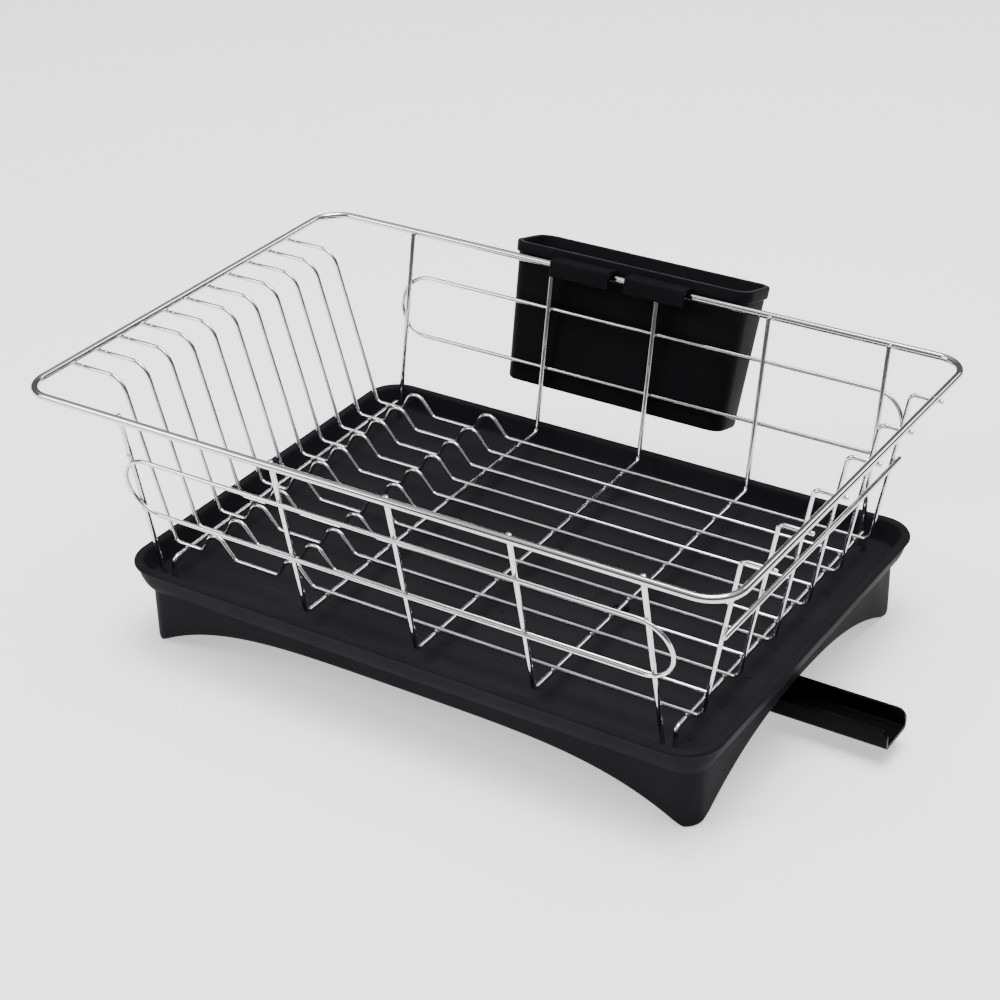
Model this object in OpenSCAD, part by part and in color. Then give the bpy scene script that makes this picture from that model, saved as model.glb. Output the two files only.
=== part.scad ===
// Dish drying rack: a welded wire rack that stands in a drip tray, with a
// swivelling drain spout and a hang-on cutlery holder. Millimetres, +Z up,
// +X along the long side towards the spout, +Y towards the cutlery holder.

/* [Rack] */
// Overall length over the rim wire
rack_l = 450; // [420:1:480]
// Overall width over the rim wire
rack_w = 300; // [280:1:320]
// Height of the rim wire's centre above the worktop
rim_z = 159; // [150:1:170]
// Centreline radius of the rim's corners
rim_r = 18.5; // [15:0.5:30]
// Depth from the rim wire down to the cross wires
rack_depth = 105.75; // [100:0.25:108]
// Number of plate wires
plate_count = 11; // [9:2:11]
// Distance between neighbouring plate wires
plate_pitch = 20.5; // [18:0.5:21]
// Distance between the two rows of humps
hump_gap = 55; // [50:1:60]
// Height of a hump above the plate wires
hump_h = 12; // [10:0.5:14]

/* [Wires] */
// Diameter of the rim wire
rim_d = 4.5; // [4:0.5:5]
// Diameter of the cross wires, corner wires and end bars
cross_d = 3; // [2.8:0.1:3.2]
// Diameter of the plate wires and side rails
plate_d = 2.5; // [2.4:0.1:2.8]
// Depth that a resistance weld sinks one wire into another
weld = 0.1; // [0.05:0.05:0.2]

/* [Tray] */
// Length of the tray over its lip
tray_l = 382; // [376:1:386]
// Width of the tray over its lip
tray_w = 273; // [268:1:276]
// Radius of the lip's corners
tray_r = 22; // [18:1:26]
// Height of the lip's top
lip_z = 54.2; // [52:0.2:55]
// Height of the tray floor's top
floor_z = 40; // [39:0.5:41]
// Wall and floor thickness
tray_t = 2.5; // [2:0.1:3]
// Height of the arches between the legs
arch_h = 25.5; // [24:0.5:26]

/* [Spout] */
// Distance from the drain to the spout's open end
spout_l = 171; // [150:0.5:180]
// Outside width of the spout's channel
spout_w = 26.5; // [22:0.5:30]
// Wall thickness of the spout
spout_t = 2; // [1.6:0.1:2.4]
// Height of the channel's underside above the worktop
spout_z = 10; // [8:0.5:10]

/* [Cutlery holder] */
// Length of the holder over its lip
holder_l = 165; // [150:1:175]
// Depth of the holder over its lip
holder_d = 40.5; // [34:0.5:44]
// Height of the holder from its base to its lip
holder_h = 88.5; // [80:0.5:90]
// Angle at which the holder leans outwards
holder_tilt = 15; // [14:0.5:16]
// Wall thickness of the holder
holder_t = 2.2; // [1.8:0.1:2.6]

/* [Hidden] */
$fn = 48;

// Rim centreline, measured from the middle of the rack
rim_x = (rack_l - rim_d) / 2;
rim_y = (rack_w - rim_d) / 2;

// Swept wires have eight flats; their flats stand this far from the centreline
flat = 0.974;
ring_sides = 8;
ring_step = 20;

// Cross wires: stations along X from the left end, and the walls they make
cross_x = [-154, -50, 24, 98.5, 175];
cross_z = rim_z - rack_depth;
cross_top_y = rim_y - rim_d / 2 - flat * cross_d / 2 + weld;
cross_floor_y = 122.5;
cross_tip = 1;
wall_lean = atan((cross_top_y - cross_floor_y) / rack_depth);
bend_r = 4;

// Ends: straight corner wires, and floor bars whose ends bend down into feet
foot_gap = 0.3;
foot_z = floor_z + foot_gap;
corner_foot_z = foot_z + cross_d / 2 * sin(wall_lean);
corner_foot_y = cross_floor_y - (cross_z - corner_foot_z) * tan(wall_lean);
bar_x = [-151, 179.5];
bar_foot_y = 116;
bar_splay = 1;

// Plate wires: height, the left wall, the right wall and the hump outline
plate_z = cross_z + flat * (cross_d + plate_d) / 2 - weld;
under_rim_z = rim_z - rim_d / 2 - flat * plate_d / 2 + weld;
left_floor_x = -159;
left_top_x = -188;
left_r = 13;
right_floor_x = 188;
right_top_x = 207;
loop_r = 6;
short_end_x = bar_x[1] + 2;
hump_1_x = -130;
hump_rise = 9;
hump_fall = 15;
hump_top_r = 6.5;
hump_lean = 0.5;
hump_round = 5;
hump_foot_r = 3.5;
rim_overhang = 1.5;

// Side rails: stadium loops on the outside of the front and back walls
rail_left_x = -159.5;
rail_right_x = 189;
rail_top = 27;
rail_h = 38.5;
rail_out = flat * (cross_d + plate_d) / 2 - weld;

// Side bar: a straight wire across the outside of the right wall
bar_drop = 47.7;
bar_overhang = 5;
side_bar_d = cross_d;

// Tray: it is centred on the rack's floor
tray_x = 16;
lip_w = 4.5;
lip_t = 3.6;
band_top = 1.2;
skirt_in = 10;
skirt_top = 35;
wall_foot_in = 9.2;
arch_long = 174;
arch_short = 112;
arch_long_power = 4;
arch_short_power = 2.4;
arch_steps = 24;
rib_count = 5;
rib_pitch = 46;
rib_w = 4;
rib_h = 0.8;
rib_left_x = -146;
rib_right_x = 138;

// Drain: a dished ring in the floor above a boss that carries the spout
drain_x = 87;
drain_y = -10;
drain_r = 5;
dish_r = 18;
dish_depth = 1.2;
boss_r = 12;
boss_bottom = 17;
catch_r = 13;
catch_t = 1.6;

// Spout head: a cup whose collar runs on the drain boss above its catch
spin_gap = 0.08;
head_r = 17;
collar_bottom = boss_bottom + catch_t + 0.4;
collar_top = collar_bottom + 3;
channel_h = 12;
outlet_r = 5;

// Cutlery holder: its own frame has the rim wire's centre at the origin,
// v up along its front face and w outwards
face_w = 4.8;
holder_x = -3;
holder_lip = 1.7;
holder_lip_h = 7;
holder_top = 8.9;
holder_taper = 8;
holder_r = 9;
hook_w = 41.5;
hook_gap = 11;
hook_t = 2.4;
hook_clear = 0.4;
hook_flap = 6.3;
flap_w = -(rim_d / 2 + cross_d + hook_clear);

// The frame's origin is the middle of the model's box, on the worktop
min_x = -rack_l / 2 - rim_overhang;
max_x = drain_x + spout_l;
min_y = -rack_w / 2;
max_y = rim_y + (face_w - holder_lip + holder_d) * cos(holder_tilt)
    + holder_top * sin(holder_tilt);
origin_shift = [-(min_x + max_x) / 2, -(min_y + max_y) / 2, 0];

chrome = "silver";
tray_black = [0.13, 0.13, 0.14];
gloss_black = [0.05, 0.05, 0.06];

// ---- helpers -------------------------------------------------------------

function unit(v) = v / norm(v);

// Angle between two directions
function angle_between(a, b) = acos(max(-1, min(1, unit(a) * unit(b))));

// Centreline points of one rounded corner at q, from p and towards r
function corner_arc(p, q, r, radius) =
    let (
        a = unit(p - q),
        b = unit(r - q),
        half = angle_between(a, b) / 2,
        centre = q + unit(a + b) * radius / sin(half),
        start = q + a * radius / tan(half),
        out = unit(start - centre),
        sweep = 180 - 2 * half,
        steps = ceil(sweep / ring_step)
    )
    [for (i = [0:steps]) centre + radius * (out * cos(i * sweep / steps) - a * sin(i * sweep / steps))];

// Centreline of an open wire: its end points and its rounded corners
function open_path(pts, radii) = [
    pts[0],
    for (i = [1:len(pts) - 2]) each corner_arc(pts[i - 1], pts[i], pts[i + 1], radii[i - 1]),
    pts[len(pts) - 1]
];

// Direction of travel at each point of an open path
function headings(path) = [
    for (i = [0:len(path) - 1])
        unit(path[min(i + 1, len(path) - 1)] - path[max(i - 1, 0)])
];

// Sideways directions that don't twist along the path
function sideways(dirs, first) = [
    for (i = 0, n = unit(first - (first * dirs[0]) * dirs[0]); i < len(dirs);
         i = i + 1, n = i < len(dirs) ? unit(n - (n * dirs[i]) * dirs[i]) : n) n
];

// A wire of diameter d swept along an open path, as one closed solid
module swept_wire(path, d, first) {
    dirs = headings(path);
    sides = sideways(dirs, first);
    r = flat * d / 2 / cos(180 / ring_sides);
    count = len(path);
    ring_points = [
        for (i = [0:count - 1], k = [0:ring_sides - 1])
            path[i] + r * (cos((k + 0.5) * 360 / ring_sides) * sides[i]
                + sin((k + 0.5) * 360 / ring_sides) * cross(dirs[i], sides[i]))
    ];
    walls = [
        for (i = [0:count - 2], k = [0:ring_sides - 1])
            let (next = (k + 1) % ring_sides)
            [i * ring_sides + k, (i + 1) * ring_sides + k,
             (i + 1) * ring_sides + next, i * ring_sides + next]
    ];
    start_cap = [[for (k = [0:ring_sides - 1]) k]];
    end_cap = [[for (k = [ring_sides - 1:-1:0]) (count - 1) * ring_sides + k]];
    polyhedron(points = ring_points, faces = concat(start_cap, walls, end_cap), convexity = 6);
}

// A rounded rectangle
module rounded_outline(l, w, r) {
    square([l - 2 * r, w], center = true);
    square([l, w - 2 * r], center = true);
    for (x = [-1, 1], y = [-1, 1])
        translate([x * (l / 2 - r), y * (w / 2 - r)]) circle(r = r);
}

// A thin plate with the tray's outline, set in from the lip's edge
module tray_plate(inset, z, t = 0.01) {
    translate([0, 0, z]) linear_extrude(t)
        rounded_outline(tray_l - 2 * inset, tray_w - 2 * inset, tray_r - min(inset, tray_r - 8));
}

// Puts a part in the row's frame
module placed() {
    translate(origin_shift) children();
}

// ---- wire rack -----------------------------------------------------------

// The closed rim wire that every other wire is welded to
module rim() {
    color(chrome) placed() translate([0, 0, rim_z]) {
        for (s = [-1, 1]) {
            translate([rim_r - rim_x, s * rim_y, 0]) rotate([0, 90, 0])
                cylinder(h = 2 * (rim_x - rim_r), d = rim_d);
            translate([s * rim_x, rim_r - rim_y, 0]) rotate([-90, 0, 0])
                cylinder(h = 2 * (rim_y - rim_r), d = rim_d);
        }
        for (turn = [0:3])
            translate([(turn == 0 || turn == 3 ? 1 : -1) * (rim_x - rim_r),
                       (turn < 2 ? 1 : -1) * (rim_y - rim_r), 0])
                rotate([0, 0, turn * 90]) rotate_extrude(angle = 90)
                    translate([rim_r, 0]) circle(d = rim_d);
    }
}

// Corners of one hump, whose crest is at x
function hump(x) = [
    [x - hump_rise, 0, plate_z],
    [x + hump_lean, 0, plate_z + hump_h + hump_round],
    [x + hump_fall, 0, plate_z]
];
hump_radii = [hump_foot_r, hump_top_r, hump_foot_r];

// Left wall, floor and both humps, shared by every plate wire
left_part = concat(
    [[-rim_x - rim_d / 2, 0, under_rim_z], [left_top_x, 0, under_rim_z], [left_floor_x, 0, plate_z]],
    hump(hump_1_x),
    hump(hump_1_x + hump_gap)
);
left_radii = concat([left_r, bend_r], hump_radii, hump_radii);

// Odd plate wires go on up the right wall and under the rim
long_path = concat(left_part, [
    [right_floor_x, 0, plate_z],
    [right_top_x, 0, under_rim_z],
    [rim_x + rim_d / 2 + rim_overhang, 0, under_rim_z]
]);
long_radii = concat(left_radii, [loop_r, bend_r]);

// Even plate wires end on the right floor bar
short_path = concat(left_part, [[short_end_x, 0, plate_z]]);

module plate_wire(number) {
    y = (number - (plate_count + 1) / 2) * plate_pitch;
    color(chrome) placed() translate([0, y, 0])
        if (number % 2 == 1) swept_wire(open_path(long_path, long_radii), plate_d, [0, 1, 0]);
        else swept_wire(open_path(short_path, left_radii), plate_d, [0, 1, 0]);
}

// A U-shaped wire up the front wall, across the floor and up the back wall
module cross_wire(station) {
    top = cross_tip * tan(wall_lean) + cross_top_y;
    color(chrome) placed() translate([cross_x[station], 0, 0])
        swept_wire(open_path([
            [0, -top, rim_z + cross_tip],
            [0, -cross_floor_y, cross_z],
            [0, cross_floor_y, cross_z],
            [0, top, rim_z + cross_tip]
        ], [bend_r, bend_r]), cross_d, [1, 0, 0]);
}

// A floor bar across one end, whose own ends bend down into two feet
module end_bar(x) {
    color(chrome) placed() translate([x, 0, 0])
        swept_wire(open_path([
            [0, -bar_foot_y, foot_z],
            [0, bar_splay - bar_foot_y, cross_z],
            [0, bar_foot_y - bar_splay, cross_z],
            [0, bar_foot_y, foot_z]
        ], [bend_r, bend_r]), cross_d, [1, 0, 0]);
}

// A straight wire from the rim to the tray floor; s is -1 in front, 1 behind
module corner_wire(station, s) {
    length = (rim_z + cross_tip - corner_foot_z) / cos(wall_lean);
    color(chrome) placed()
        translate([cross_x[station], s * corner_foot_y, corner_foot_z])
            rotate([-s * wall_lean, 0, 0]) cylinder(h = length, d = cross_d);
}

// A stadium-shaped rail on the outside of a wall; s is -1 in front, 1 behind
module rail(s) {
    end_r = rail_h / 2;
    color(chrome) placed()
        translate([0, s * cross_top_y, rim_z]) rotate([-s * wall_lean, 0, 0])
            translate([0, s * rail_out, -rail_top - end_r]) rotate([90, 0, 0]) {
                for (y = [-end_r, end_r])
                    translate([rail_left_x + end_r, y, 0]) rotate([0, 90, 0])
                        cylinder(h = rail_right_x - rail_left_x - rail_h, d = plate_d);
                translate([rail_right_x - end_r, 0, 0]) rotate([0, 0, -90])
                    rotate_extrude(angle = 180) translate([end_r, 0]) circle(d = plate_d);
                translate([rail_left_x + end_r, 0, 0]) rotate([0, 0, 90])
                    rotate_extrude(angle = 180) translate([end_r, 0]) circle(d = plate_d);
            }
}

// The straight wire that ties the six right-wall wires together
module side_bar() {
    lean = atan((right_top_x - right_floor_x) / (under_rim_z - plate_z));
    out = (flat * plate_d + side_bar_d) / 2 - weld;
    z = rim_z - bar_drop;
    wire_x = right_floor_x + (z - plate_z) * tan(lean);
    length = (plate_count - 1) * plate_pitch + 2 * bar_overhang;
    color(chrome) placed()
        translate([wire_x + out / cos(lean), -length / 2, z]) rotate([-90, 0, 0])
            cylinder(h = length, d = side_bar_d);
}

// ---- drip tray -----------------------------------------------------------

// The opening under one side wall: half its width is s0
function arch_outline(s0, power) = concat(
    [for (i = [-arch_steps:arch_steps])
        let (s = i / arch_steps)
        [s * s0, arch_h * (1 - pow(abs(s), power))]],
    [[s0, -1], [-s0, -1]]
);

module arches() {
    translate([0, tray_w / 2 + 1, 0]) rotate([90, 0, 0])
        linear_extrude(tray_w + 2) polygon(arch_outline(arch_long, arch_long_power));
    translate([-tray_l / 2 - 1, 0, 0]) rotate([90, 0, 90])
        linear_extrude(tray_l + 2) polygon(arch_outline(arch_short, arch_short_power));
}

// One long shallow rib with round ends; it stops short of the drain's dish
module rib(y) {
    meets_dish = abs(y - drain_y) < dish_r + rib_w;
    right_x = meets_dish ? drain_x - dish_r - rib_w : rib_right_x;
    translate([-tray_x, y, floor_z - weld]) {
        translate([rib_left_x, -rib_w / 2, 0]) cube([right_x - rib_left_x, rib_w, rib_h + weld]);
        for (x = [rib_left_x, right_x]) translate([x, 0, 0]) cylinder(h = rib_h + weld, d = rib_w);
    }
}

module drip_tray() {
    drain = [drain_x - tray_x, drain_y, 0];
    color(tray_black) placed() translate([tray_x, 0, 0]) {
        difference() {
            union() {
                translate([0, 0, lip_z - lip_t]) linear_extrude(lip_t)
                    rounded_outline(tray_l, tray_w, tray_r);
                hull() {
                    tray_plate(band_top, lip_z - lip_t);
                    tray_plate(skirt_in - 0.4, skirt_top);
                }
                linear_extrude(skirt_top + 1) rounded_outline(
                    tray_l - 2 * skirt_in, tray_w - 2 * skirt_in, tray_r - skirt_in);
            }
            hull() {
                tray_plate(lip_w, lip_z + 0.1);
                tray_plate(wall_foot_in, floor_z);
            }
            translate([0, 0, -1]) linear_extrude(floor_z - tray_t + 1) rounded_outline(
                tray_l - 2 * (skirt_in + tray_t), tray_w - 2 * (skirt_in + tray_t),
                tray_r - skirt_in - tray_t + 1);
            arches();
            translate(drain) {
                translate([0, 0, floor_z - dish_depth]) cylinder(h = 5, r = dish_r);
                cylinder(h = floor_z, r = drain_r);
            }
        }
        for (i = [0:rib_count - 1]) rib((i - (rib_count - 1) / 2) * rib_pitch);
        translate(drain) difference() {
            union() {
                translate([0, 0, boss_bottom]) cylinder(h = floor_z - dish_depth - boss_bottom, r = boss_r);
                translate([0, 0, boss_bottom]) cylinder(h = catch_t, r = catch_r);
                translate([0, 0, floor_z - dish_depth - tray_t])
                    cylinder(h = tray_t, r = dish_r + tray_t);
            }
            translate([0, 0, boss_bottom - 1]) cylinder(h = floor_z, r = drain_r);
        }
    }
}

// ---- swivel spout --------------------------------------------------------

module spout() {
    inner_w = spout_w - 2 * spout_t;
    channel_top = spout_z + channel_h;
    color(gloss_black) placed() translate([drain_x, drain_y, 0]) difference() {
        union() {
            translate([0, 0, spout_z]) cylinder(h = collar_top - spout_z, r = head_r);
            translate([0, 0, spout_z]) linear_extrude(channel_h) {
                translate([0, -spout_w / 2]) square([spout_l - outlet_r, spout_w]);
                translate([0, outlet_r - spout_w / 2]) square([spout_l, spout_w - 2 * outlet_r]);
                for (s = [-1, 1])
                    translate([spout_l - outlet_r, s * (spout_w / 2 - outlet_r)]) circle(r = outlet_r);
            }
        }
        translate([0, 0, spout_z + spout_t]) cylinder(h = collar_bottom - spout_z - spout_t, r = head_r - spout_t);
        translate([0, 0, collar_bottom - 1]) cylinder(h = collar_top, r = boss_r + spin_gap);
        translate([head_r - spout_t - 4, -inner_w / 2, spout_z + spout_t])
            cube([spout_l, inner_w, collar_bottom - spout_z - spout_t]);
        translate([head_r, -inner_w / 2, spout_z + spout_t]) cube([spout_l, inner_w, channel_h]);
    }
}

// ---- cutlery holder ------------------------------------------------------

// A slice through the tapered box: v is its height, inset shrinks it
module holder_slice(v, inset, back) {
    drop = (holder_top - v) / holder_h * holder_taper / 2;
    l = holder_l - 2 * holder_lip - 2 * drop - 2 * inset;
    d = holder_d - 2 * holder_lip - 2 * drop - 2 * inset;
    translate([0, face_w + inset + d / 2, v]) linear_extrude(0.01)
        rounded_outline(l, d, holder_r - inset);
}

module cutlery_holder() {
    base = holder_top - holder_h;
    lip_base = holder_top - holder_lip_h;
    color(tray_black) placed()
        translate([holder_x, rim_y, rim_z]) rotate([-holder_tilt, 0, 0]) {
            difference() {
                union() {
                    hull() {
                        holder_slice(holder_top - 0.02, 0);
                        holder_slice(base, 0);
                    }
                    translate([0, face_w - holder_lip + holder_d / 2, lip_base])
                        linear_extrude(holder_lip_h)
                            rounded_outline(holder_l, holder_d, holder_r + holder_lip);
                }
                hull() {
                    holder_slice(holder_top + 0.1, holder_t);
                    holder_slice(base + holder_t, holder_t);
                }
            }
            for (s = [-1, 1]) translate([s * (hook_w + hook_gap) / 2 - hook_w / 2, 0, 0]) {
                translate([0, flap_w - hook_t, rim_d / 2 + hook_clear])
                    cube([hook_w, face_w - flap_w + hook_t - holder_lip + 0.5, hook_t]);
                translate([0, flap_w - hook_t, -hook_flap])
                    cube([hook_w, hook_t, hook_flap + rim_d / 2 + hook_clear + hook_t]);
            }
        }
}

// ---- assembly ------------------------------------------------------------

rim();
plate_wire(1);  // plate_wire_01
plate_wire(2);  // plate_wire_02
plate_wire(3);  // plate_wire_03
plate_wire(4);  // plate_wire_04
plate_wire(5);  // plate_wire_05
plate_wire(6);  // plate_wire_06
plate_wire(7);  // plate_wire_07
plate_wire(8);  // plate_wire_08
plate_wire(9);  // plate_wire_09
plate_wire(10);  // plate_wire_10
plate_wire(11);  // plate_wire_11
cross_wire(1);  // cross_wire_1
cross_wire(2);  // cross_wire_2
cross_wire(3);  // cross_wire_3
end_bar(bar_x[0]);  // end_bar_left
end_bar(bar_x[1]);  // end_bar_right
corner_wire(0, -1);  // corner_wire_front_left
corner_wire(0, 1);  // corner_wire_back_left
corner_wire(4, -1);  // corner_wire_front_right
corner_wire(4, 1);  // corner_wire_back_right
rail(-1);  // front_rail
rail(1);  // back_rail
side_bar();
drip_tray();
spout();
cutlery_holder();
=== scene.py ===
"""Dish drying rack: a chromed wire rack in a black drip tray, with its swivel spout and cutlery holder."""
import math

import bmesh
import bpy
from mathutils import Matrix, Vector


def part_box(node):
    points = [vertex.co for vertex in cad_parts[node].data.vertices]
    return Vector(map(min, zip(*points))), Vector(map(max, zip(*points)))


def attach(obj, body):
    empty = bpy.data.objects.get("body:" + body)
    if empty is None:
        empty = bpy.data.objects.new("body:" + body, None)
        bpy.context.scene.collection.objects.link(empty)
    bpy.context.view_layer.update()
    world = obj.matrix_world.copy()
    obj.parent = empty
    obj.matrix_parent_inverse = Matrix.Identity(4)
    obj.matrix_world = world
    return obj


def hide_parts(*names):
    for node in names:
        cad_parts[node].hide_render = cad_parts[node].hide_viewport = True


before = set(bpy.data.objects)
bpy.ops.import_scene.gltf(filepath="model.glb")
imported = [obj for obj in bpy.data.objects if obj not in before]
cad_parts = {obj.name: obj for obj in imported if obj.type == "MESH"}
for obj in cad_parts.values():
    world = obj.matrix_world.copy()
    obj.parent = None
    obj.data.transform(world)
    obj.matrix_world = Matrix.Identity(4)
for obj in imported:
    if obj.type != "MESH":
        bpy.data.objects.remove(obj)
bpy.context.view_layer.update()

MM = 0.001
TAU = 2 * math.pi

# ---- Driving dimensions, in millimetres -----------------------------------
# Plan positions are measured from the middle of the rim, heights from the worktop.
RIM_LOW, RIM_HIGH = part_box("rim")
MIDDLE = Vector(((RIM_LOW[0] + RIM_HIGH[0]) / 2, (RIM_LOW[1] + RIM_HIGH[1]) / 2, 0))
RIM_D = (RIM_HIGH[2] - RIM_LOW[2]) / MM
RIM_Z = RIM_LOW[2] / MM + RIM_D / 2
RIM_X = (RIM_HIGH[0] - RIM_LOW[0]) / MM / 2 - RIM_D / 2
RIM_Y = (RIM_HIGH[1] - RIM_LOW[1]) / MM / 2 - RIM_D / 2
RIM_R = 18.5
RACK_DEPTH = 105.75

# How far welds sink the cross wires into the rim, and the plate wires and rails into what they touch
RIM_SINK = 0.1
PLATE_SINK = 0.15

# Cross wires, corner wires and end bars
CROSS_D = 3.0
PLATE_D = 2.5
CROSS_X = (-154, -50, 24, 98.5, 175)
CROSS_Z = RIM_Z - RACK_DEPTH
CROSS_TOP_Y = RIM_Y - RIM_D / 2 - CROSS_D / 2 + RIM_SINK
CROSS_FLOOR_Y = 122.5
CROSS_TIP = 1.0
WALL_LEAN = math.atan((CROSS_TOP_Y - CROSS_FLOOR_Y) / (RIM_Z - CROSS_Z))
BEND_R = 4.0
FOOT_Z = 40.3
BAR_X = {"left": -151, "right": 179.5}
BAR_FOOT_Y = 116.0
BAR_SPLAY = 1

# Plate wires and their humps
PLATE_COUNT = 11
PLATE_PITCH = 20.5
PLATE_Z = CROSS_Z + (CROSS_D + PLATE_D) / 2 - PLATE_SINK
UNDER_RIM_Z = RIM_Z - RIM_D / 2 - PLATE_D / 2 + PLATE_SINK
PLATE_END_OUT = 1.3
SHORT_END_OUT = 2
LEFT_BEND_R = 13
LOOP_R = 6
LEFT_FLOOR_X = -159
LEFT_TOP_X = -188
RIGHT_FLOOR_X = 188
RIGHT_TOP_X = 207
HUMPS_X = (-130, -75)
HUMP_RISE = 9
HUMP_FALL = 15
HUMP_PEAK = 17
HUMP_LEAN = 0.5
HUMP_R = 6.5
HUMP_FOOT_R = 3.5

# Rails on the long walls, with depths measured down the wall from the rim, and the bar on the right wall
RAIL_LEFT_X = -159.5
RAIL_RIGHT_X = 189
RAIL_TOP = 27
RAIL_H = 38.5
RAIL_OUT = (CROSS_D + PLATE_D) / 2 - PLATE_SINK
SIDE_BAR_Z = RIM_Z - 47.7

WELD_R = 1.5
WELD_H = 0.8

# Tray; insets are measured from the lip's edge
TRAY_X = 16
TRAY_HALF_L = 191
TRAY_HALF_W = 136.5
TRAY_R = 22
TRAY_LEAST_R = 6
FLOOR_Z = 40.0
UNDER_Z = 37.5
LEDGE_Z = 35.4
SKIRT_IN = 10.0
SKIRT_T = 2.5
ARCH_H = 25.5
ARCH_LONG = 174
ARCH_LONG_POWER = 4
ARCH_SHORT = 112
ARCH_SHORT_POWER = 2.4
RIB_COUNT = 5
RIB_PITCH = 46
RIB_W = 5.6
RIB_H = 0.8
RIB_LEFT_X = -146
RIB_RIGHT_X = 138
DRAIN = (87, -10)
DRAIN_R = 5.0
DISH_R = 18.0
DIMPLE_R = 1.9

# Spout; START and MIDDLE are distances from the drain
SPOUT_END_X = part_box("spout")[1][0] / MM - MIDDLE.x / MM
SPOUT_W = 26.5
SPOUT_T = 2.0
SPOUT_Z = 10.0
SPOUT_H = 12.0
SPOUT_START = 12
SPOUT_MIDDLE = 60
SPOUT_END_R = 5.0
HEAD_R = 17.0

# The holder's own frame has the rim wire's centre at its origin, w outwards and v up along its face
HOLDER_TILT = math.radians(15)
FACE_W = 4.8
HOLDER_LIP = 1.7
HOLDER_X = -3
HOLDER_L = 165
HOLDER_D = 40.5
HOLDER_TOP = 8.9
HOLDER_H = 88.5
LIP_H = 7
TAPER = 8
HOLDER_R = 9
WALL = 2.2
HOOK_W = 41.5
HOOK_GAP = 11
HOOK_T = 2.4
HOOK_CLEAR = 0.4
HOOK_FLAP = 6.3
HOOK_EDGE = 0.35


# ---- Mesh helpers ----------------------------------------------------------

def at(x, y, z):
    """A point in metres, from millimetres off the rim's middle and a height above the worktop."""
    return MIDDLE + Vector((x, y, z)) * MM


def finish_piece(bm, name, body, material, nodes=(), crease=None):
    """Turns a bmesh into a named piece that rides on a body and stands for CAD nodes."""
    bmesh.ops.recalc_face_normals(bm, faces=bm.faces)
    mesh = bpy.data.meshes.new(name)
    bm.to_mesh(mesh)
    bm.free()
    obj = bpy.data.objects.new(name, mesh)
    bpy.context.scene.collection.objects.link(obj)
    for polygon in mesh.polygons:
        polygon.use_smooth = True
    if crease is not None:
        mesh.set_sharp_from_angle(angle=math.radians(crease))
    mesh.materials.append(material)
    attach(obj, body)
    if nodes:
        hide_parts(*nodes)
    return obj


def bridge(bm, rings, closed_path=False):
    """Quads between successive rings of vertices."""
    count = len(rings[0])
    steps = len(rings) if closed_path else len(rings) - 1
    for i in range(steps):
        first = rings[i]
        second = rings[(i + 1) % len(rings)]
        for k in range(count):
            j = (k + 1) % count
            bm.faces.new((first[k], first[j], second[j], second[k]))


def cap_ends(bm, rings):
    """One face on each end of a bridged run of rings."""
    bm.faces.new(list(reversed(rings[0])))
    bm.faces.new(rings[-1])


def rounded_path(points, radii, step=8):
    """A polyline whose inner corners are arcs of the given radii, with a point every few degrees."""
    path = [points[0]]
    for before, corner, after, radius in zip(points, points[1:], points[2:], radii):
        a = (before - corner).normalized()
        b = (after - corner).normalized()
        half = a.angle(b) / 2
        centre = corner + (a + b).normalized() * (radius * MM / math.sin(half))
        start = corner + a * (radius * MM / math.tan(half))
        out = (start - centre).normalized()
        sweep = math.pi - 2 * half
        count = max(2, math.ceil(math.degrees(sweep) / step))
        for i in range(count + 1):
            angle = sweep * i / count
            path.append(centre + (out * math.cos(angle) - a * math.sin(angle)) * (radius * MM))
    path.append(points[-1])
    return path


def add_wire(bm, path, diameter, side, closed=False, sides=14, cut=0.35):
    """Sweeps a round wire along a path. Open ends get a small rounded edge, as a cropped wire has."""
    radius = diameter / 2 * MM
    count = len(path)
    rings = []
    normal = side.normalized()

    def ring(centre, tangent, r):
        other = tangent.cross(normal)
        angles = [TAU * k / sides for k in range(sides)]
        return [bm.verts.new(centre + (normal * math.cos(a) + other * math.sin(a)) * r) for a in angles]

    for i, point in enumerate(path):
        before = path[i - 1] if i > 0 or closed else point
        after = path[(i + 1) % count] if i < count - 1 or closed else point
        tangent = (after - before).normalized()
        normal = (normal - tangent * normal.dot(tangent)).normalized()
        if not closed and i == 0:
            rings.append(ring(point, tangent, radius - cut * MM))
            rings.append(ring(point + tangent * cut * 0.35 * MM, tangent, radius - cut * 0.3 * MM))
            rings.append(ring(point + tangent * cut * MM, tangent, radius))
        elif not closed and i == count - 1:
            rings.append(ring(point - tangent * cut * MM, tangent, radius))
            rings.append(ring(point - tangent * cut * 0.35 * MM, tangent, radius - cut * 0.3 * MM))
            rings.append(ring(point, tangent, radius - cut * MM))
        else:
            rings.append(ring(point, tangent, radius))
    bridge(bm, rings, closed_path=closed)
    if not closed:
        cap_ends(bm, rings)


def add_weld(bm, centre, radius=WELD_R, height=WELD_H, along=Vector((0, 0, 1))):
    """A small flattened nugget where two wires are fused; along is the line between their centres."""
    turn = along.to_track_quat("Z", "Y").to_matrix().to_4x4()
    place = Matrix.Translation(centre) @ turn @ Matrix.Diagonal((radius * MM, radius * MM, height * MM, 1))
    bmesh.ops.create_uvsphere(bm, u_segments=12, v_segments=8, radius=1, matrix=place)


# ---- Materials -------------------------------------------------------------

# The part of a noise texture's range that it mostly stays in
NOISE_LOW = 0.3
NOISE_HIGH = 0.7


def node_material(name):
    """An empty node material with its principled shader: (material, nodes, links, shader)."""
    material = bpy.data.materials.new(name)
    material.use_nodes = True
    tree = material.node_tree
    return material, tree.nodes, tree.links, tree.nodes["Principled BSDF"]


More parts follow.
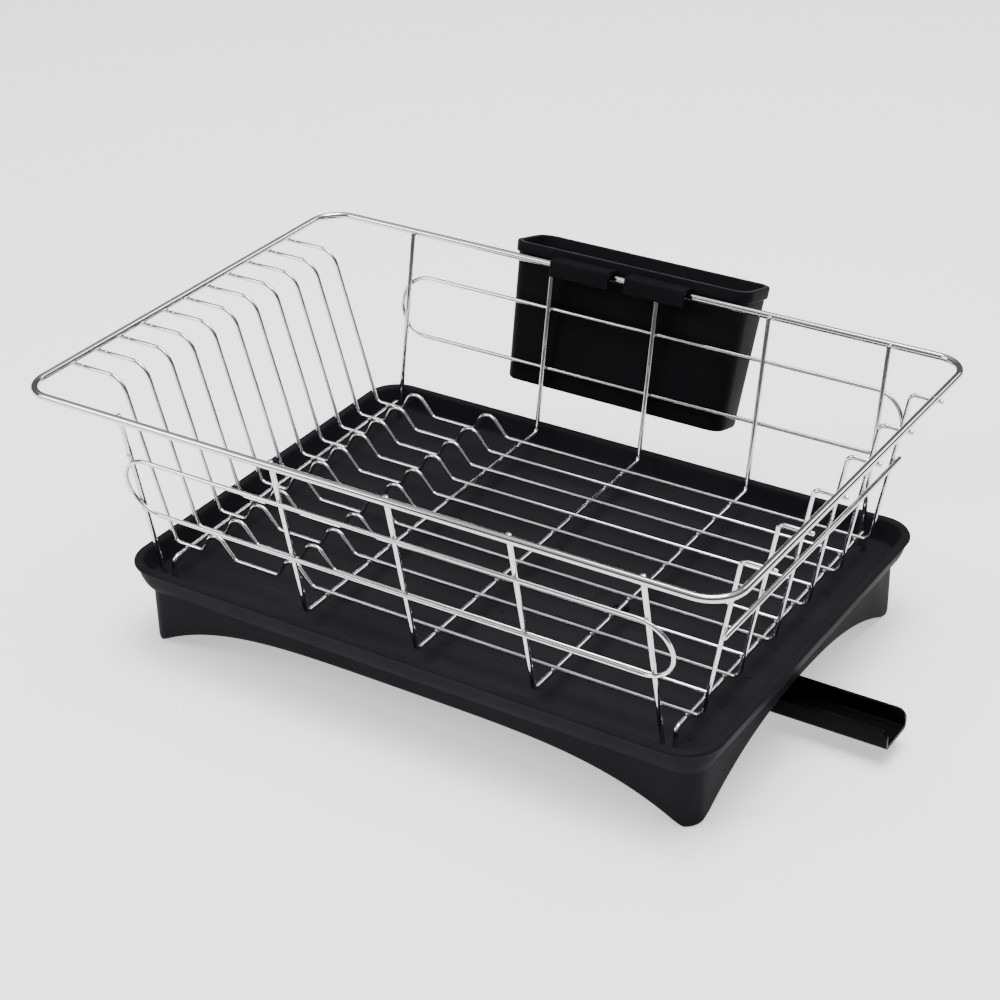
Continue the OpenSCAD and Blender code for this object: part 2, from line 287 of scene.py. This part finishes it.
def noise(nodes, links, scale, detail):
    """Object-space noise, as a 0 to 1 value."""
    coords = nodes.new("ShaderNodeTexCoord")
    texture = nodes.new("ShaderNodeTexNoise")
    texture.inputs["Scale"].default_value = scale
    texture.inputs["Detail"].default_value = detail
    links.new(coords.outputs["Object"], texture.inputs["Vector"])
    return texture.outputs["Fac"]


def spread(nodes, links, value, low, high):
    """Maps a noise value onto the range low to high."""
    node = nodes.new("ShaderNodeMapRange")
    node.inputs["From Min"].default_value = NOISE_LOW
    node.inputs["From Max"].default_value = NOISE_HIGH
    node.inputs["To Min"].default_value = low
    node.inputs["To Max"].default_value = high
    links.new(value, node.inputs["Value"])
    return node.outputs["Result"]


def tint(nodes, links, value, dark, light):
    """Blends two colours by a noise value."""
    ramp = nodes.new("ShaderNodeValToRGB")
    ramp.color_ramp.elements[0].position = NOISE_LOW
    ramp.color_ramp.elements[1].position = NOISE_HIGH
    ramp.color_ramp.elements[0].color = (*dark, 1)
    ramp.color_ramp.elements[1].color = (*light, 1)
    links.new(value, ramp.inputs["Fac"])
    return ramp.outputs["Color"]


def bump(nodes, links, shader, value, strength, distance):
    """Feeds a height into the shader's normal; distance is in metres."""
    node = nodes.new("ShaderNodeBump")
    node.inputs["Strength"].default_value = strength
    node.inputs["Distance"].default_value = distance
    links.new(value, node.inputs["Height"])
    links.new(node.outputs["Normal"], shader.inputs["Normal"])


def bright_wire(name, dark, light, rough_low, rough_high):
    """Polished, plated steel wire: faint cloudiness in its colour and gloss."""
    material, nodes, links, shader = node_material(name)
    cloud = noise(nodes, links, 24, 2)
    sheen = noise(nodes, links, 60, 2)
    shader.inputs["Metallic"].default_value = 1.0
    links.new(tint(nodes, links, cloud, dark, light), shader.inputs["Base Color"])
    links.new(spread(nodes, links, sheen, rough_low, rough_high), shader.inputs["Roughness"])
    return material


def black_plastic(name, dark, light, rough_low, rough_high, grain, specular):
    """Moulded black plastic with a fine grain."""
    material, nodes, links, shader = node_material(name)
    cloud = noise(nodes, links, 14, 4)
    sheen = noise(nodes, links, 38, 4)
    links.new(tint(nodes, links, cloud, dark, light), shader.inputs["Base Color"])
    links.new(spread(nodes, links, sheen, rough_low, rough_high), shader.inputs["Roughness"])
    shader.inputs["IOR"].default_value = 1.49
    shader.inputs["Specular IOR Level"].default_value = specular
    bump(nodes, links, shader, noise(nodes, links, 1500, 2), grain, 0.0002)
    return material


WIRE = bright_wire("bright_wire", (0.60, 0.59, 0.60), (0.66, 0.65, 0.66), 0.08, 0.11)
WELD = bright_wire("weld_metal", (0.48, 0.47, 0.47), (0.58, 0.57, 0.57), 0.22, 0.30)
TRAY = black_plastic("tray_plastic", (0.0102, 0.0098, 0.0113), (0.0138, 0.0132, 0.0152),
                     rough_low=0.40, rough_high=0.50, grain=0.16, specular=0.012)
HOLDER = black_plastic("holder_plastic", (0.0054, 0.0052, 0.0060), (0.0076, 0.0074, 0.0084),
                       rough_low=0.36, rough_high=0.46, grain=0.14, specular=0.014)
SPOUT = black_plastic("spout_plastic", (0.0024, 0.0024, 0.0028), (0.0036, 0.0036, 0.0040),
                      rough_low=0.12, rough_high=0.17, grain=0.02, specular=0.03)


# ---- Wire rack -------------------------------------------------------------

def make_rim():
    """The closed rim wire and the weld that joins its ends."""
    bm = bmesh.new()
    corners = [(1, 1), (-1, 1), (-1, -1), (1, -1)]
    path = []
    for number, (sx, sy) in enumerate(corners):
        for i in range(13):
            angle = (number + i / 12) * math.pi / 2
            path.append(at(sx * (RIM_X - RIM_R) + RIM_R * math.cos(angle),
                           sy * (RIM_Y - RIM_R) + RIM_R * math.sin(angle), RIM_Z))
    add_wire(bm, path, RIM_D, Vector((0, 0, 1)), closed=True, sides=20)
    finish_piece(bm, "rim_wire", "rack", WIRE, ["rim"])

    # The butt weld that closes the rim, ground nearly flush
    bm = bmesh.new()
    seam = at(RIM_X, 96, RIM_Z)
    for shift in (-0.5, 0.5):
        add_weld(bm, seam + Vector((0, shift * MM, 0)), RIM_D / 2 + 0.12, 0.45, Vector((0, 1, 0)))
    finish_piece(bm, "rim_seam", "rack", WELD)


def hump(x, y):
    """The three corners of one hump, whose crest is at x."""
    return [at(x - HUMP_RISE, y, PLATE_Z), at(x + HUMP_LEAN, y, PLATE_Z + HUMP_PEAK),
            at(x + HUMP_FALL, y, PLATE_Z)]


def plate_y(number):
    """Where a plate wire lies across the rack, counted from 1 at the front."""
    return (number - (PLATE_COUNT + 1) / 2) * PLATE_PITCH


def plate_path(number):
    """Odd plate wires go on up the right wall; even ones stop on the right floor bar."""
    y = plate_y(number)
    points = [at(-RIM_X - RIM_D / 2, y, UNDER_RIM_Z), at(LEFT_TOP_X, y, UNDER_RIM_Z),
              at(LEFT_FLOOR_X, y, PLATE_Z)]
    radii = [LEFT_BEND_R, BEND_R]
    for x in HUMPS_X:
        points += hump(x, y)
        radii += [HUMP_FOOT_R, HUMP_R, HUMP_FOOT_R]
    if number % 2:
        points += [at(RIGHT_FLOOR_X, y, PLATE_Z), at(RIGHT_TOP_X, y, UNDER_RIM_Z),
                   at(RIM_X + RIM_D / 2 + PLATE_END_OUT, y, UNDER_RIM_Z)]
        radii += [LOOP_R, BEND_R]
    else:
        points += [at(BAR_X["right"] + SHORT_END_OUT, y, PLATE_Z)]
    return rounded_path(points, radii)


def make_plate_wires():
    """The eleven bent wires along the rack."""
    for number in range(1, PLATE_COUNT + 1):
        bm = bmesh.new()
        add_wire(bm, plate_path(number), PLATE_D, Vector((0, 1, 0)))
        name = f"plate_wire_{number:02d}"
        finish_piece(bm, name + "_round", "rack", WIRE, [name])


def wall_point(x, side, height):
    """A point on the centreline of a cross wire's leaning wall; side is -1 in front, 1 behind."""
    lean = (height - CROSS_Z) * math.tan(WALL_LEAN)
    return at(x, side * (CROSS_FLOOR_Y + lean), height)


def make_cross_wires():
    """Three U-shaped wires up the front wall, across the floor and up the back wall."""
    for number in range(1, 4):
        x = CROSS_X[number]
        points = [wall_point(x, -1, RIM_Z + CROSS_TIP), at(x, -CROSS_FLOOR_Y, CROSS_Z),
                  at(x, CROSS_FLOOR_Y, CROSS_Z), wall_point(x, 1, RIM_Z + CROSS_TIP)]
        bm = bmesh.new()
        add_wire(bm, rounded_path(points, [BEND_R, BEND_R]), CROSS_D, Vector((1, 0, 0)))
        finish_piece(bm, f"cross_wire_{number}_round", "rack", WIRE, [f"cross_wire_{number}"])


def make_ends():
    """At each end of the basket, a floor bar with two feet and two straight corner wires."""
    for side_name, x in (("left", CROSS_X[0]), ("right", CROSS_X[4])):
        bar_x = BAR_X[side_name]
        points = [at(bar_x, -BAR_FOOT_Y, FOOT_Z), at(bar_x, BAR_SPLAY - BAR_FOOT_Y, CROSS_Z),
                  at(bar_x, BAR_FOOT_Y - BAR_SPLAY, CROSS_Z), at(bar_x, BAR_FOOT_Y, FOOT_Z)]
        bm = bmesh.new()
        add_wire(bm, rounded_path(points, [BEND_R, BEND_R]), CROSS_D, Vector((1, 0, 0)))
        finish_piece(bm, f"end_bar_{side_name}_round", "rack", WIRE, [f"end_bar_{side_name}"])
        for place, side in (("front", -1), ("back", 1)):
            bm = bmesh.new()
            foot = wall_point(x, side, FOOT_Z + 0.3)
            add_wire(bm, [foot, wall_point(x, side, RIM_Z + CROSS_TIP)], CROSS_D, Vector((1, 0, 0)))
            node = f"corner_wire_{place}_{side_name}"
            finish_piece(bm, node + "_round", "rack", WIRE, [node])


def rail_point(x, side, down):
    """A point on a rail's centreline, down along the outside of a wall from the rim's height."""
    y = CROSS_TOP_Y - down * math.sin(WALL_LEAN) + RAIL_OUT * math.cos(WALL_LEAN)
    z = RIM_Z - down * math.cos(WALL_LEAN) - RAIL_OUT * math.sin(WALL_LEAN)
    return at(x, side * y, z)


def make_rails():
    """A stadium-shaped loop on the outside of each long wall."""
    end_r = RAIL_H / 2
    for name, side in (("front_rail", -1), ("back_rail", 1)):
        path = []
        for centre_x, first in ((RAIL_RIGHT_X - end_r, -90), (RAIL_LEFT_X + end_r, 90)):
            for i in range(25):
                angle = math.radians(first + 180 * i / 24)
                path.append(rail_point(centre_x + end_r * math.cos(angle), side,
                                       RAIL_TOP + end_r - end_r * math.sin(angle)))
        bm = bmesh.new()
        add_wire(bm, path, PLATE_D, Vector((0, side, 0)), closed=True)
        finish_piece(bm, name + "_round", "rack", WIRE, [name])


def right_wall_x(z):
    """Centreline of the right wall's plate wires at a height."""
    return RIGHT_FLOOR_X + (z - PLATE_Z) * (RIGHT_TOP_X - RIGHT_FLOOR_X) / (UNDER_RIM_Z - PLATE_Z)


def make_side_bar():
    """The straight wire across the outside of the right wall, where the CAD has it."""
    low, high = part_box("side_bar")
    x = (low[0] + high[0]) / 2
    z = (low[2] + high[2]) / 2
    bm = bmesh.new()
    add_wire(bm, [Vector((x, low[1], z)), Vector((x, high[1], z))], CROSS_D, Vector((0, 0, 1)))
    finish_piece(bm, "side_bar_round", "rack", WIRE, ["side_bar"])


def make_welds():
    """Fused nuggets at the crossings of the wires, each sunk a little into the wire below it."""
    sunk = 0.07
    outside_sunk = 0.3
    toward_wire = 0.46
    bm = bmesh.new()
    floor_bars = (BAR_X["left"], CROSS_X[1], CROSS_X[2], CROSS_X[3], BAR_X["right"])
    for number in range(1, PLATE_COUNT + 1):
        y = plate_y(number)
        for x in floor_bars:
            add_weld(bm, at(x, y, CROSS_Z + CROSS_D / 2 - sunk))
        add_weld(bm, at(-RIM_X, y, RIM_Z - RIM_D / 2 + sunk))
        if number % 2:
            add_weld(bm, at(RIM_X, y, RIM_Z - RIM_D / 2 + sunk))
            out = CROSS_D / 2 - outside_sunk
            add_weld(bm, at(right_wall_x(SIDE_BAR_Z) + out, y, SIDE_BAR_Z), along=Vector((1, 0, 0)))
    for x in CROSS_X:
        for side in (-1, 1):
            add_weld(bm, at(x, side * (CROSS_TOP_Y + CROSS_D / 2), RIM_Z), along=Vector((0, 1, 0)))
            for down in (RAIL_TOP, RAIL_TOP + RAIL_H):
                rail = rail_point(x, side, down)
                wire = wall_point(x, side, RIM_Z - down * math.cos(WALL_LEAN))
                add_weld(bm, rail.lerp(wire, toward_wire), along=rail - wire)
    finish_piece(bm, "wire_welds", "rack", WELD)


# ---- Drip tray -------------------------------------------------------------

def tray_outline(inset, long_steps=56, short_steps=40, corner_steps=10):
    """Points round the tray at an inset from the lip's edge, always the same number, as (x, y)."""
    half_l = TRAY_HALF_L - inset
    half_w = TRAY_HALF_W - inset
    r = max(TRAY_R - inset, TRAY_LEAST_R)
    points = []
    for number, (sx, sy) in enumerate([(1, 1), (-1, 1), (-1, -1), (1, -1)]):
        cx = sx * (half_l - r)
        cy = sy * (half_w - r)
        for i in range(corner_steps):
            angle = (number + i / corner_steps) * math.pi / 2
            points.append((cx + r * math.cos(angle), cy + r * math.sin(angle)))
        steps = long_steps if number % 2 == 0 else short_steps
        start_angle = (number + 1) * math.pi / 2
        start = (cx + r * math.cos(start_angle), cy + r * math.sin(start_angle))
        next_sx, next_sy = [(-1, 1), (-1, -1), (1, -1), (1, 1)][number]
        end = (next_sx * (half_l - r) + r * math.cos(start_angle),
               next_sy * (half_w - r) + r * math.sin(start_angle))
        for i in range(steps):
            f = i / steps
            points.append((start[0] + (end[0] - start[0]) * f, start[1] + (end[1] - start[1]) * f))
    return points


def arch(x, y):
    """Height of the skirt's lower edge at a point of the tray's outline."""
    along_x = ARCH_H * max(0, 1 - abs(x / ARCH_LONG) ** ARCH_LONG_POWER)
    along_y = ARCH_H * max(0, 1 - abs(y / ARCH_SHORT) ** ARCH_SHORT_POWER)
    on_long_side = TRAY_HALF_W - abs(y) < TRAY_HALF_L - abs(x)
    return along_x if on_long_side else along_y


def tray_ring(bm, inset, z):
    """One level ring of the tray's shell."""
    return [bm.verts.new(at(TRAY_X + x, y, z)) for x, y in tray_outline(inset)]


def arch_ring(bm, inset, above):
    """One ring of the tray's shell that follows the arches, at a height above their edge."""
    return [bm.verts.new(at(TRAY_X + x, y, above + arch(x, y))) for x, y in tray_outline(inset)]


def circle_ring(bm, x, y, r, z, count=40):
    """A level circle of vertices."""
    return [bm.verts.new(at(x + r * math.cos(TAU * k / count), y + r * math.sin(TAU * k / count), z))
            for k in range(count)]


def fill_between(bm, outer, holes):
    """Flat faces between an outer ring and the rings of the holes in it."""
    edges = []
    for ring in [outer] + holes:
        for k, vert in enumerate(ring):
            following = ring[(k + 1) % len(ring)]
            edges.append(bm.edges.get((vert, following)) or bm.edges.new((vert, following)))
    bmesh.ops.triangle_fill(bm, edges=edges, use_beauty=True, use_dissolve=False)


def dimple_places():
    """Small dimples moulded into the floor: a row beside the right wall, and a shorter one amid the floor."""
    row_x = 183
    row_start_y = -104
    row_pitch = 33
    places = [(row_x, row_start_y + row_pitch * i) for i in range(7)]
    amid_x = 32
    places += [(amid_x, side * y) for side in (-1, 1) for y in (48, 76, 104)]
    return places


def add_rib(bm, x0, x1, y):
    """A long low rib with a rounded top and round ends on the tray floor."""
    rings = []
    for inset, up in ((0.0, -0.05), (RIB_W * 0.1, RIB_H * 0.15), (RIB_W * 0.2, RIB_H * 0.5),
                      (RIB_W * 0.3, RIB_H * 0.85), (RIB_W * 0.4, RIB_H)):
        r = RIB_W / 2 - inset
        ring = []
        for end_x, first in ((x1, -90), (x0, 90)):
            for i in range(9):
                angle = math.radians(first + 180 * i / 8)
                place = at(end_x + r * math.cos(angle), y + r * math.sin(angle), FLOOR_Z + up)
                ring.append(bm.verts.new(place))
        rings.append(ring)
    bridge(bm, rings)
    cap_ends(bm, rings)


def make_tray():
    """The tray's shell, floor and drain as one skin, and the floor's ribs."""
    bm = bmesh.new()
    rings = [
        # Inside of the skirt, down from the floor's underside and round its rounded lower edge
        tray_ring(bm, SKIRT_IN + SKIRT_T, UNDER_Z),
        arch_ring(bm, SKIRT_IN + SKIRT_T - 0.1, 0.8),
        arch_ring(bm, SKIRT_IN + SKIRT_T - 0.5, 0.1),
        arch_ring(bm, SKIRT_IN + SKIRT_T - 0.8, 0),
        # Outside of the skirt, with a softer rounding, up to the ledge
        arch_ring(bm, SKIRT_IN + 1.3, 0),
        arch_ring(bm, SKIRT_IN + 0.75, 0.3),
        arch_ring(bm, SKIRT_IN + 0.35, 0.9),
        arch_ring(bm, SKIRT_IN + 0.1, 1.9),
        arch_ring(bm, SKIRT_IN, 3.0),
        tray_ring(bm, SKIRT_IN, LEDGE_Z - 0.5),
    ]
    # Ledge, convex band, groove, bead, and the inner wall down to the floor, as (inset, height)
    profile = [
        (9.9, LEDGE_Z - 0.1), (9.5, LEDGE_Z + 0.1), (8.7, LEDGE_Z + 0.6),
        (7.3, 37.3), (5.9, 39.1), (4.7, 41.3), (3.7, 43.7), (2.9, 46.1), (2.3, 48.3), (1.8, 49.9),
        (1.5, 50.7), (1.3, 51.1), (1.15, 51.3), (0.7, 51.5),
        (0.25, 51.8), (0.05, 52.2), (0.0, 52.7), (0.12, 53.2), (0.45, 53.7), (1.0, 54.05), (1.7, 54.2),
        (3.6, 54.2), (4.5, 54.1), (5.1, 53.8), (5.5, 53.3), (5.75, 52.5), (6.3, 50.0), (7.6, 44.4),
        (8.3, 41.8), (8.6, 41.1), (9.1, 40.5), (9.8, 40.12), (10.6, FLOOR_Z), (11.2, FLOOR_Z),
    ]
    for inset, z in profile:
        rings.append(tray_ring(bm, inset, z))
    bridge(bm, rings)

    # The floor, with the drain's dish and the dimples sunk in it
    drain_top = circle_ring(bm, *DRAIN, DISH_R, FLOOR_Z)
    holes = [drain_top]
    for x, y in dimple_places():
        rim = circle_ring(bm, x, y, DIMPLE_R, FLOOR_Z, 16)
        bowl = [rim]
        for r, depth in ((1.5, 0.35), (0.8, 0.75)):
            bowl.append(circle_ring(bm, x, y, r, FLOOR_Z - depth, 16))
        bridge(bm, bowl)
        bm.faces.new(bowl[-1])
        holes.append(rim)
    fill_between(bm, rings[-1], holes)

    # The dish, the hole through the boss, the boss and its catch, and the underside, as (radius, height)
    lathe = [drain_top]
    for r, z in ((17.4, 39.7), (16.8, 39.0), (16.2, 38.8), (7.2, 38.3), (6.0, 38.1), (5.2, 37.6),
                 (DRAIN_R, 36.8), (DRAIN_R, 17.4), (5.4, 17.0), (12.6, 17.0), (13.0, 17.4), (13.0, 18.2),
                 (12.5, 18.6), (12.0, 18.8), (12.0, 35.2), (20.4, 35.9), (20.4, UNDER_Z)):
        lathe.append(circle_ring(bm, *DRAIN, r, z))
    bridge(bm, lathe)
    fill_between(bm, rings[0], [lathe[-1]])
    for i in range(RIB_COUNT):
        y = (i - (RIB_COUNT - 1) / 2) * RIB_PITCH
        meets_dish = abs(y - DRAIN[1]) < DISH_R + RIB_W
        right_x = DRAIN[0] - DISH_R - RIB_W if meets_dish else RIB_RIGHT_X
        add_rib(bm, RIB_LEFT_X, right_x, y)
    finish_piece(bm, "drip_tray_shell", "tray", TRAY, ["drip_tray"], crease=40)


# ---- Swivel spout ----------------------------------------------------------

def channel_section(lower):
    """The channel's cross-section as (y, z) from its centre: the outside, then the inside back again."""
    half = SPOUT_W / 2
    inner_half = half - SPOUT_T
    top = SPOUT_Z + SPOUT_H - lower
    edge = 0.5
    outer_r = 3.0
    inner_r = 1.6
    outer = [(-half + edge, top), (-half, top - edge)]
    for a in (math.radians(d) for d in (0, 22.5, 45, 67.5, 90)):
        outer.append((-half + outer_r - outer_r * math.cos(a), SPOUT_Z + outer_r - outer_r * math.sin(a)))
    outer += [(-y, z) for y, z in reversed(outer)]
    floor = SPOUT_Z + SPOUT_T
    inner = [(inner_half - edge, top), (inner_half, top - edge)]
    for a in (math.radians(d) for d in (0, 30, 60, 90)):
        inner.append((inner_half - inner_r + inner_r * math.cos(a), floor + inner_r - inner_r * math.sin(a)))
    inner += [(-y, z) for y, z in reversed(inner)]
    return outer + inner


def make_spout():
    """An open channel that starts in a round cup under the drain."""
    bm = bmesh.new()
    turn_x = SPOUT_END_X - SPOUT_END_R
    stations = [(DRAIN[0] + SPOUT_START, 0), (DRAIN[0] + SPOUT_MIDDLE, 0), (turn_x, 0)]
    stations += [(turn_x + SPOUT_END_R * math.sin(a), SPOUT_END_R - SPOUT_END_R * math.cos(a))
                 for a in (math.radians(d) for d in (20, 40, 60, 75, 90))]
    rings = []
    for x, lower in stations:
        rings.append([bm.verts.new(at(x, DRAIN[1] + y, z)) for y, z in channel_section(lower)])
    bridge(bm, rings)
    for ring in (rings[0], rings[-1]):
        for k in range(len(ring) // 2 - 1):
            bm.faces.new((ring[k], ring[k + 1], ring[-k - 2], ring[-k - 1]))

    # The cup: outside, collar, and the hollow that the boss's catch sits in, as (radius, height)
    cup = []
    for r, z in ((0.01, SPOUT_Z), (HEAD_R - 1, SPOUT_Z), (HEAD_R - 0.3, SPOUT_Z + 0.3),
                 (HEAD_R, SPOUT_Z + 1), (HEAD_R, 21.4), (HEAD_R - 0.6, 22.0), (12.5, 22.0), (12.1, 21.6),
                 (12.1, 19.0), (15.0, 19.0), (15.0, SPOUT_Z + SPOUT_T), (0.01, SPOUT_Z + SPOUT_T)):
        cup.append(circle_ring(bm, *DRAIN, r, z))
    bridge(bm, cup)
    finish_piece(bm, "spout_shell", "spout", SPOUT, ["spout"], crease=38)


# ---- Cutlery holder --------------------------------------------------------

def holder_point(x, w, v):
    """A point of the holder: w outwards from the rim and v up along the holder's face."""
    y = RIM_Y + w * math.cos(HOLDER_TILT) + v * math.sin(HOLDER_TILT)
    z = RIM_Z - w * math.sin(HOLDER_TILT) + v * math.cos(HOLDER_TILT)
    return at(HOLDER_X + x, y, z)


def holder_ring(bm, v, inset, steps=8):
    """A rounded rectangle across the holder; negative insets stand proud of its walls."""
    drop = max(0, HOLDER_TOP - v) / HOLDER_H * TAPER / 2
    half_l = HOLDER_L / 2 - HOLDER_LIP - drop - inset
    depth = HOLDER_D - 2 * HOLDER_LIP - 2 * drop - 2 * inset
    r = max(HOLDER_R - inset, 2)
    w0 = FACE_W + inset
    ring = []
    for number, (sx, side) in enumerate([(1, 1), (-1, 1), (-1, 0), (1, 0)]):
        cx = sx * (half_l - r)
        cw = w0 + depth - r if side else w0 + r
        for i in range(steps + 1):
            angle = (number + i / steps) * math.pi / 2
            ring.append(bm.verts.new(holder_point(cx + r * math.cos(angle), cw + r * math.sin(angle), v)))
    return ring


def make_holder():
    """The tapered box with its lip, and the two hooks."""
    bm = bmesh.new()
    base = HOLDER_TOP - HOLDER_H
    lip_base = HOLDER_TOP - LIP_H
    rings = []
    # Up the outside, over the lip and down the inside, as (v, inset)
    levels = [
        (base, 2.6), (base + 0.25, 1.3), (base + 0.9, 0.45), (base + 2.2, 0.0),
        (lip_base - 0.3, 0.0), (lip_base, -0.35), (lip_base + 0.15, -HOLDER_LIP + 0.4),
        (lip_base + 0.6, -HOLDER_LIP), (HOLDER_TOP - 0.7, -HOLDER_LIP),
        (HOLDER_TOP - 0.2, -HOLDER_LIP + 0.2), (HOLDER_TOP, -HOLDER_LIP + 0.8),
        (HOLDER_TOP, WALL - 0.7), (HOLDER_TOP - 0.3, WALL - 0.15), (HOLDER_TOP - 0.9, WALL),
        (base + WALL + 2.4, WALL), (base + WALL + 0.8, WALL + 0.5), (base + WALL + 0.1, WALL + 1.5),
        (base + WALL, WALL + 2.8),
    ]
    for v, inset in levels:
        rings.append(holder_ring(bm, v, inset))
    bridge(bm, rings)
    cap_ends(bm, rings)
    finish_piece(bm, "holder_box", "holder", HOLDER, ["cutlery_holder"], crease=38)

    # Two hooks over the rim: an arm with a rounded shoulder and a flap inside the rack
    flap = -(RIM_D / 2 + CROSS_D + HOOK_CLEAR)
    under = RIM_D / 2 + HOOK_CLEAR
    root = FACE_W - HOLDER_LIP + 1.2
    edge = 0.5
    fillet = 0.6
    shoulder = [(flap - HOOK_T * math.cos(a), under + HOOK_T * math.sin(a))
                for a in (math.radians(d) for d in (0, 22.5, 45, 67.5, 90))]
    outline = [(flap - edge, -HOOK_FLAP), (flap - HOOK_T + edge, -HOOK_FLAP),
               (flap - HOOK_T, edge - HOOK_FLAP)]
    outline += shoulder
    outline += [(root, under + HOOK_T), (root, under), (flap + fillet, under), (flap, under - fillet),
                (flap, edge - HOOK_FLAP)]
    for side in (-1, 1):
        bm = bmesh.new()
        centre = side * (HOOK_W + HOOK_GAP) / 2
        add_hook(bm, centre - HOOK_W / 2, centre + HOOK_W / 2, outline)
        name = "hook_left" if side < 0 else "hook_right"
        finish_piece(bm, name, "holder", HOLDER, crease=38)


def add_hook(bm, x0, x1, outline):
    """A hook extruded along X; its ends are inset a little so that the edges catch the light."""
    rings = []
    count = len(outline)
    for x, shrink in ((x0, HOOK_EDGE), (x0 + HOOK_EDGE, 0), (x1 - HOOK_EDGE, 0), (x1, HOOK_EDGE)):
        ring = []
        for k in range(count):
            before = Vector(outline[k - 1])
            here = Vector(outline[k])
            after = Vector(outline[(k + 1) % count])
            first = (here - before).normalized()
            second = (after - here).normalized()
            inward = Vector((first.y + second.y, -first.x - second.x))
            if inward.length > 0:
                inward.normalize()
            moved = here + inward * shrink
            ring.append(bm.verts.new(holder_point(x, moved.x, moved.y)))
        rings.append(ring)
    bridge(bm, rings)
    cap_ends(bm, rings)


# ---- Stage, light and camera -----------------------------------------------

# In metres
FLOOR_HALF = 8
FLOOR_GAP = 0.0002


def make_stage():
    """A pale floor just under the worktop's level."""
    bm = bmesh.new()
    bmesh.ops.create_grid(bm, x_segments=1, y_segments=1, size=FLOOR_HALF)
    mesh = bpy.data.meshes.new("floor")
    bm.to_mesh(mesh)
    bm.free()
    floor = bpy.data.objects.new("floor", mesh)
    bpy.context.scene.collection.objects.link(floor)
    floor.location.z = -FLOOR_GAP
    material, nodes, links, shader = node_material("pale_floor")
    shader.inputs["Base Color"].default_value = (0.92, 0.92, 0.92, 1)
    shader.inputs["Roughness"].default_value = 0.8
    shader.inputs["Emission Color"].default_value = (1, 1, 1, 1)
    shader.inputs["Emission Strength"].default_value = 0.7
    mesh.materials.append(material)


def area_light(name, place, target, size_x, size_y, power):
    """A rectangular soft light that faces a target; places and sizes are in metres."""
    data = bpy.data.lights.new(name, "AREA")
    data.energy = power
    data.shape = "RECTANGLE"
    data.size = size_x
    data.size_y = size_y
    light = bpy.data.objects.new(name, data)
    light.location = place
    light.rotation_euler = (Vector(target) - Vector(place)).to_track_quat("-Z", "Y").to_euler()
    bpy.context.scene.collection.objects.link(light)


def make_light():
    """Three soft lights in a studio that is dim at the horizon and white overhead."""
    area_light("overhead", (0.1, 0.1, 1.9), (0, 0, 0), 1.5, 1.1, power=62)
    area_light("left_front", (-1.5, -1.3, 1.3), (0, 0, 0.08), 0.8, 1.1, power=22)
    area_light("right_back", (0.8, 1.8, 1.5), (0, 0, 0.08), 0.6, 1.0, power=9)
    world = bpy.data.worlds.new("studio")
    bpy.context.scene.world = world
    world.use_nodes = True
    nodes = world.node_tree.nodes
    links = world.node_tree.links
    background = nodes["Background"]
    coords = nodes.new("ShaderNodeTexCoord")
    split = nodes.new("ShaderNodeSeparateXYZ")
    ramp = nodes.new("ShaderNodeValToRGB")
    sky = [(0.0, (0.14, 0.14, 0.14)), (0.52, (0.17, 0.17, 0.17)), (0.72, (0.60, 0.59, 0.59)),
           (0.90, (1, 1, 1))]
    while len(ramp.color_ramp.elements) < len(sky):
        ramp.color_ramp.elements.new(0.5)
    for element, (height, colour) in zip(ramp.color_ramp.elements, sky):
        element.position = height
        element.color = (*colour, 1)
    links.new(coords.outputs["Generated"], split.inputs["Vector"])
    links.new(split.outputs["Z"], ramp.inputs["Fac"])
    links.new(ramp.outputs["Color"], background.inputs["Color"])
    background.inputs["Strength"].default_value = 1.0


def make_camera():
    """A camera in front and to the right, looking down at the rack."""
    azimuth = math.radians(32.95)
    elevation = math.radians(29.886)
    roll = math.radians(-1.308)
    distance = 1177.4
    back = Vector((math.sin(azimuth) * math.cos(elevation), -math.cos(azimuth) * math.cos(elevation),
                   math.sin(elevation)))
    right = Vector((math.cos(azimuth), math.sin(azimuth), 0))
    up = back.cross(right)
    rolled_right = right * math.cos(roll) + up * math.sin(roll)
    rolled_up = up * math.cos(roll) - right * math.sin(roll)
    target = at(76.2, -116.6, RIM_Z)
    place = target + back * distance * MM
    data = bpy.data.cameras.new("camera")
    data.lens = 83.04
    data.sensor_width = 36
    camera = bpy.data.objects.new("camera", data)
    rotation = Matrix((rolled_right, rolled_up, back)).transposed().to_4x4()
    camera.matrix_world = Matrix.Translation(place) @ rotation
    bpy.context.scene.collection.objects.link(camera)
    bpy.context.scene.camera = camera


make_rim()
make_plate_wires()
make_cross_wires()
make_ends()
make_rails()
make_side_bar()
make_welds()
make_tray()
make_spout()
make_holder()
make_stage()
make_light()
make_camera()
